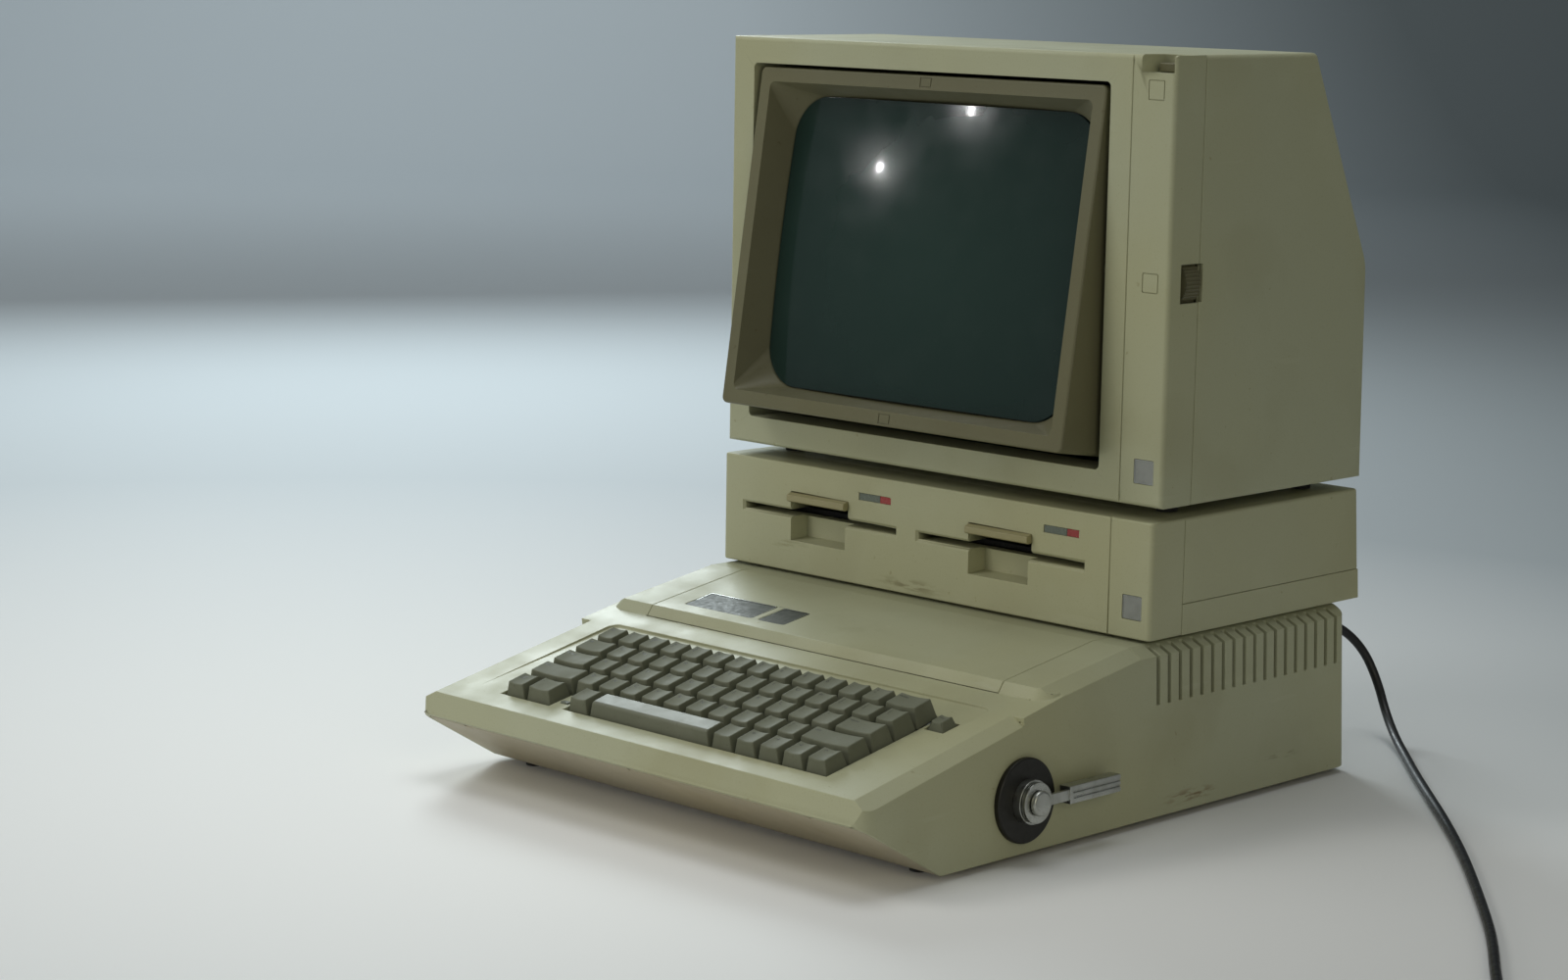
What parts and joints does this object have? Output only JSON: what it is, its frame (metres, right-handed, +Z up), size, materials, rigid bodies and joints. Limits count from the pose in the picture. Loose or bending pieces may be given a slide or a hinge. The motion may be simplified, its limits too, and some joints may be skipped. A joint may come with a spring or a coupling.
{
  "type": "home computer",
  "caption": "Desktop home computer: wedge-shaped case with built-in keyboard, twin disk unit and tube monitor with tilting screen stacked on it, side lock and mains cord.",
  "frame": {"origin": "on the table, at the middle of the footprint of everything but the cord, its connector and its plug: halfway between the case's nose and the rear hump of the monitor, and halfway between the left flank and the cap of the side lock", "axes": "+Z up, +X to the right as seen by the user, +Y to the rear; the keyboard faces -Y"},
  "size_m": [0.7678, 0.5797, 0.4574],
  "materials": {
    "aluminium": "die cast",
    "bezel": "taupe moulded plastic",
    "board": "green lacquered board",
    "case": "fine grained moulded plastic, slightly yellowed",
    "chips": "black moulded parts",
    "chromed": "dull chromed lock",
    "cord": "black flexible sheath",
    "glass": "dark green-grey picture tube glass",
    "keys": "brown-grey moulded plastic, worn tops",
    "lamp_amber": "pale translucent lamp",
    "lamp_red": "red translucent lamp",
    "lens": "grey-green translucent window",
    "lock_black": "black lacquered disc",
    "pan": "painted steel pan",
    "plate_dark": "smoked glossy plate",
    "rubber": "matte black rubber",
    "steel": "zinc plated sheet steel",
    "switches": "black moulded plastic",
    "yoke": "wound copper and plastic former"
  },
  "bodies": {
    "computer": {"base_pan": "pan", "board_parts": "chips", "case_screws": "steel", "cord_coil": "cord", "cord_connector": "cord", "feet": "rubber", "key_switches": "switches", "keyboard_plate": "steel", "lock_bolt": "chromed", "lock_plate": "lock_black", "mains_cord": "cord", "mains_inlet": "switches", "mains_plug": "cord", "motherboard": "board", "power_lamp": "lamp_amber", "power_supply": "steel", "rear_panel": "steel", "speaker": "switches", "upper_case": "case"},
    "lid": {"lid": "case", "name_plates": "plate_dark"},
    "drive_unit": {"drive_bezel": "case", "drive_cover": "case", "drive_pan": "case", "drive_windows": "lens", "drive_lamps": "lamp_red", "drive_chassis": "aluminium", "drive_feet": "rubber"},
    "monitor": {"monitor_frame": "case", "monitor_shell": "case", "monitor_neck_cover": "case", "monitor_feet": "rubber", "monitor_board": "board"},
    "tilting_screen": {"tilt_bezel": "bezel", "picture_tube": "glass", "tube_fittings": "yoke"},
    "latch_left": {"drive_latch_left": "case"},
    "latch_right": {"drive_latch_right": "case"},
    "power_button": {"monitor_power_button": "bezel"},
    "contrast_control": {"contrast_wheel": "bezel"},
    "lock_handle": {"lock_lever": "chromed"},
    "mains_switch": {"power_switch": "switches"},
    "accent_key_body": {"accent_key": "keys"},
    "arrow_keys_body": {"arrow_keys": "keys"},
    "caps_lock_key_body": {"caps_lock_key": "keys"},
    "control_key_body": {"control_key": "keys"},
    "delete_key_body": {"delete_key": "keys"},
    "escape_key_body": {"escape_key": "keys"},
    "home_letter_keys_body": {"home_letter_keys": "keys"},
    "left_shift_key_body": {"left_shift_key": "keys"},
    "left_symbol_key_body": {"left_symbol_key": "keys"},
    "lower_letter_keys_body": {"lower_letter_keys": "keys"},
    "number_keys_body": {"number_keys": "keys"},
    "reset_key_body": {"reset_key": "keys"},
    "return_key_body": {"return_key": "keys"},
    "right_shift_key_body": {"right_shift_key": "keys"},
    "right_symbol_key_body": {"right_symbol_key": "keys"},
    "space_bar_body": {"space_bar": "keys"},
    "tab_key_body": {"tab_key": "keys"},
    "upper_letter_keys_body": {"upper_letter_keys": "keys"}
  },
  "joints": [
    {"name": "lid_lift", "type": "slide", "parent": "computer", "child": "lid", "axis": [0, 0, 1], "range_m": [0, 0.06]},
    {"name": "drive_unit_lift", "type": "slide", "parent": "lid", "child": "drive_unit", "axis": [0, 0, 1], "range_m": [0, 0.06]},
    {"name": "monitor_lift", "type": "slide", "parent": "drive_unit", "child": "monitor", "axis": [0, 0, 1], "range_m": [0, 0.06]},
    {"name": "screen_tilt", "type": "hinge", "parent": "monitor", "child": "tilting_screen", "pos_m": [-0.02178, 0.01, 0.329], "axis": [1, 0, 0], "range_deg": [-4, 8]},
    {"name": "latch_left_close", "type": "hinge", "parent": "drive_unit", "child": "latch_left", "pos_m": [-0.10078, 0.0029, 0.1597], "axis": [1, 0, 0], "range_deg": [0, 70]},
    {"name": "latch_right_close", "type": "hinge", "parent": "drive_unit", "child": "latch_right", "pos_m": [0.05472, 0.0029, 0.1597], "axis": [1, 0, 0], "range_deg": [0, 70]},
    {"name": "power_button_press", "type": "slide", "parent": "monitor", "child": "power_button", "axis": [0, 1, 0], "range_m": [0, 0.003], "stiffness_N_per_m": 400},
    {"name": "contrast_turn", "type": "hinge", "parent": "monitor", "child": "contrast_control", "pos_m": [0.16302, 0.0231, 0.3231], "axis": [0, 1, 0], "range_deg": [-135, 135]},
    {"name": "lock_lever_turn", "type": "hinge", "parent": "computer", "child": "lock_handle", "pos_m": [0.18332, -0.126, 0.0355], "axis": [0.9992, 0, 0.0401], "range_deg": [-20, 90]},
    {"name": "mains_switch_rock", "type": "hinge", "parent": "computer", "child": "mains_switch", "pos_m": [0.14272, 0.18425, 0.052], "axis": [1, 0, 0], "range_deg": [0, 16]},
    {"name": "accent_key_press", "type": "slide", "parent": "computer", "child": "accent_key_body", "axis": [0, 0.247, -0.969], "range_m": [0, 0.004], "stiffness_N_per_m": 150},
    {"name": "arrow_keys_press", "type": "slide", "parent": "computer", "child": "arrow_keys_body", "axis": [0, 0.247, -0.969], "range_m": [0, 0.004], "stiffness_N_per_m": 1500},
    {"name": "caps_lock_key_press", "type": "slide", "parent": "computer", "child": "caps_lock_key_body", "axis": [0, 0.247, -0.969], "range_m": [0, 0.004], "stiffness_N_per_m": 150},
    {"name": "control_key_press", "type": "slide", "parent": "computer", "child": "control_key_body", "axis": [0, 0.247, -0.969], "range_m": [0, 0.004], "stiffness_N_per_m": 150},
    {"name": "delete_key_press", "type": "slide", "parent": "computer", "child": "delete_key_body", "axis": [0, 0.247, -0.969], "range_m": [0, 0.004], "stiffness_N_per_m": 150},
    {"name": "escape_key_press", "type": "slide", "parent": "computer", "child": "escape_key_body", "axis": [0, 0.247, -0.969], "range_m": [0, 0.004], "stiffness_N_per_m": 150},
    {"name": "home_letter_keys_press", "type": "slide", "parent": "computer", "child": "home_letter_keys_body", "axis": [0, 0.247, -0.969], "range_m": [0, 0.004], "stiffness_N_per_m": 1500},
    {"name": "left_shift_key_press", "type": "slide", "parent": "computer", "child": "left_shift_key_body", "axis": [0, 0.247, -0.969], "range_m": [0, 0.004], "stiffness_N_per_m": 150},
    {"name": "left_symbol_key_press", "type": "slide", "parent": "computer", "child": "left_symbol_key_body", "axis": [0, 0.247, -0.969], "range_m": [0, 0.004], "stiffness_N_per_m": 150},
    {"name": "lower_letter_keys_press", "type": "slide", "parent": "computer", "child": "lower_letter_keys_body", "axis": [0, 0.247, -0.969], "range_m": [0, 0.004], "stiffness_N_per_m": 1500},
    {"name": "number_keys_press", "type": "slide", "parent": "computer", "child": "number_keys_body", "axis": [0, 0.247, -0.969], "range_m": [0, 0.004], "stiffness_N_per_m": 1500},
    {"name": "reset_key_press", "type": "slide", "parent": "computer", "child": "reset_key_body", "axis": [0, 0.247, -0.969], "range_m": [0, 0.0025], "stiffness_N_per_m": 150},
    {"name": "return_key_press", "type": "slide", "parent": "computer", "child": "return_key_body", "axis": [0, 0.247, -0.969], "range_m": [0, 0.004], "stiffness_N_per_m": 150},
    {"name": "right_shift_key_press", "type": "slide", "parent": "computer", "child": "right_shift_key_body", "axis": [0, 0.247, -0.969], "range_m": [0, 0.004], "stiffness_N_per_m": 150},
    {"name": "right_symbol_key_press", "type": "slide", "parent": "computer", "child": "right_symbol_key_body", "axis": [0, 0.247, -0.969], "range_m": [0, 0.004], "stiffness_N_per_m": 150},
    {"name": "space_bar_press", "type": "slide", "parent": "computer", "child": "space_bar_body", "axis": [0, 0.247, -0.969], "range_m": [0, 0.004], "stiffness_N_per_m": 150},
    {"name": "tab_key_press", "type": "slide", "parent": "computer", "child": "tab_key_body", "axis": [0, 0.247, -0.969], "range_m": [0, 0.004], "stiffness_N_per_m": 150},
    {"name": "upper_letter_keys_press", "type": "slide", "parent": "computer", "child": "upper_letter_keys_body", "axis": [0, 0.247, -0.969], "range_m": [0, 0.004], "stiffness_N_per_m": 1500}
  ]
}
